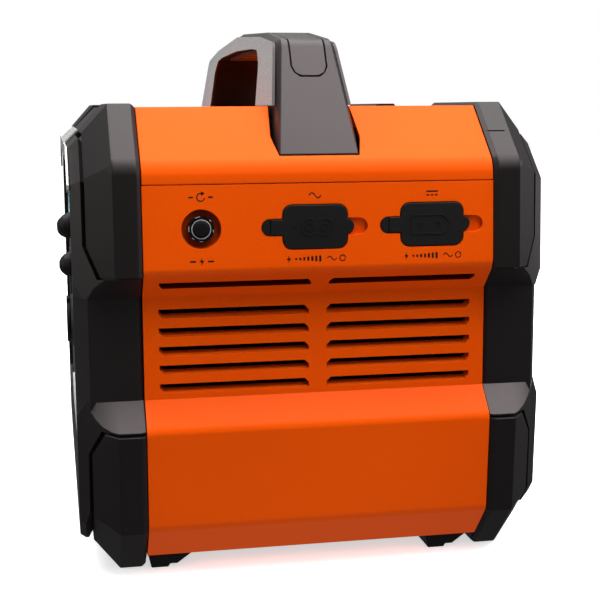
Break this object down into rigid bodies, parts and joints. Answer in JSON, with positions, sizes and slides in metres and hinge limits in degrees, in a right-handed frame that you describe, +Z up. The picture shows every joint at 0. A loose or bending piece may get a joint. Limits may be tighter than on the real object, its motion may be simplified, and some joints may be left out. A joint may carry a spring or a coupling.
{
  "type": "power station",
  "caption": "Portable power station with a bridging carry handle, faceted corner guards, slatted side vents, covered side inlets and a socket front.",
  "frame": {"origin": "on the floor, at the middle of the overall footprint", "axes": "+X to the side with the two inlets and the breaker, -Y to the control front, +Z up"},
  "size_m": [0.374, 0.2602, 0.2934],
  "materials": {
    "shell": "satin moulded orange plastic with a fine grain",
    "housing": "matt dark grey moulded plastic with a fine grain",
    "guard": "matt dark grey over-moulded corner guard, slightly rougher than the housing",
    "trim": "silver satin finish",
    "grip": "matt dark grey plastic",
    "rubber": "matt black rubber",
    "gloss": "smooth black plastic",
    "metal": "plated steel",
    "dark_metal": "black nickel plated, knurled",
    "socket": "black moulded plastic",
    "lens": "frosted translucent white plastic",
    "board": "green solder mask",
    "cell_wrap": "aluminium battery cans in blue film",
    "inner": "black moulded plastic"
  },
  "bodies": {
    "station": {"top_cover": "shell", "side_panel_right": "shell", "side_panel_left": "shell", "front_housing": "housing", "rear_housing": "housing", "bottom_tray": "housing", "upper_guard_front_right": "guard", "upper_guard_front_left": "guard", "upper_guard_rear_right": "guard", "upper_guard_rear_left": "guard", "lower_guard_front_right": "guard", "lower_guard_front_left": "guard", "lower_guard_rear_right": "guard", "lower_guard_rear_left": "guard", "handle_trim_front": "trim", "handle_trim_rear": "trim", "front_trim": "trim", "handle_core": "grip", "grip_inlay": "grip", "foot_front_right": "rubber", "foot_front_left": "rubber", "foot_rear_right": "rubber", "foot_rear_left": "rubber", "grip_ribs": "rubber", "ac_cover_anchor": "rubber", "dc_cover_anchor": "rubber", "control_panel": "gloss", "display_lens": "gloss", "handle_bracket_right": "metal", "handle_bracket_left": "metal", "breaker_bushing": "metal", "heatsink": "metal", "breaker_nut": "dark_metal", "ac_inlet": "socket", "dc_inlet": "socket", "ac_outlet_upper": "socket", "ac_outlet_lower": "socket", "usb_module": "socket", "car_socket": "socket", "dc_jack_left": "socket", "dc_jack_right": "socket", "lamp_lens": "lens", "display_board": "board", "bms_board": "board", "inverter_board": "board", "battery_pack": "cell_wrap", "breaker_body": "inner", "fan_frame_front": "inner", "fan_frame_rear": "inner"},
    "breaker_button": {"breaker_button": "rubber"},
    "ac_inlet_cover": {"ac_inlet_cover": "rubber"},
    "dc_inlet_cover": {"dc_inlet_cover": "rubber"},
    "car_socket_cap": {"car_socket_cap": "rubber"},
    "ac_button": {"ac_button": "rubber"},
    "dc_button": {"dc_button": "rubber"},
    "usb_button": {"usb_button": "rubber"},
    "lamp_button": {"lamp_button": "rubber"},
    "fan_rotor_front": {"fan_rotor_front": "inner"},
    "fan_rotor_rear": {"fan_rotor_rear": "inner"}
  },
  "joints": [
    {"name": "breaker_button_slide", "type": "slide", "parent": "station", "child": "breaker_button", "axis": [1, 0, 0], "range_m": [0, 0.003]},
    {"name": "ac_cover_hinge", "type": "hinge", "parent": "station", "child": "ac_inlet_cover", "pos_m": [0.18432, -0.02405, 0.1863], "axis": [0, 0, -1], "range_deg": [0, 110]},
    {"name": "dc_cover_hinge", "type": "hinge", "parent": "station", "child": "dc_inlet_cover", "pos_m": [0.18432, 0.03825, 0.1863], "axis": [0, 0, -1], "range_deg": [0, 110]},
    {"name": "car_cap_hinge", "type": "hinge", "parent": "station", "child": "car_socket_cap", "pos_m": [0, -0.126, 0.1274], "axis": [-1, 0, 0], "range_deg": [0, 120]},
    {"name": "ac_button_press", "type": "slide", "parent": "station", "child": "ac_button", "axis": [0, 1, 0], "range_m": [0, 0.0012], "stiffness_N_per_m": 900},
    {"name": "dc_button_press", "type": "slide", "parent": "station", "child": "dc_button", "axis": [0, 1, 0], "range_m": [0, 0.0012], "stiffness_N_per_m": 900},
    {"name": "usb_button_press", "type": "slide", "parent": "station", "child": "usb_button", "axis": [0, 1, 0], "range_m": [0, 0.0012], "stiffness_N_per_m": 900},
    {"name": "lamp_button_press", "type": "slide", "parent": "station", "child": "lamp_button", "axis": [0, 1, 0], "range_m": [0, 0.0012], "stiffness_N_per_m": 900},
    {"name": "fan_front_spin", "type": "hinge", "parent": "station", "child": "fan_rotor_front", "pos_m": [0.152, -0.03985, 0.123], "axis": [1, 0, 0], "continuous": true},
    {"name": "fan_rear_spin", "type": "hinge", "parent": "station", "child": "fan_rotor_rear", "pos_m": [0.152, 0.04615, 0.123], "axis": [1, 0, 0], "continuous": true}
  ]
}
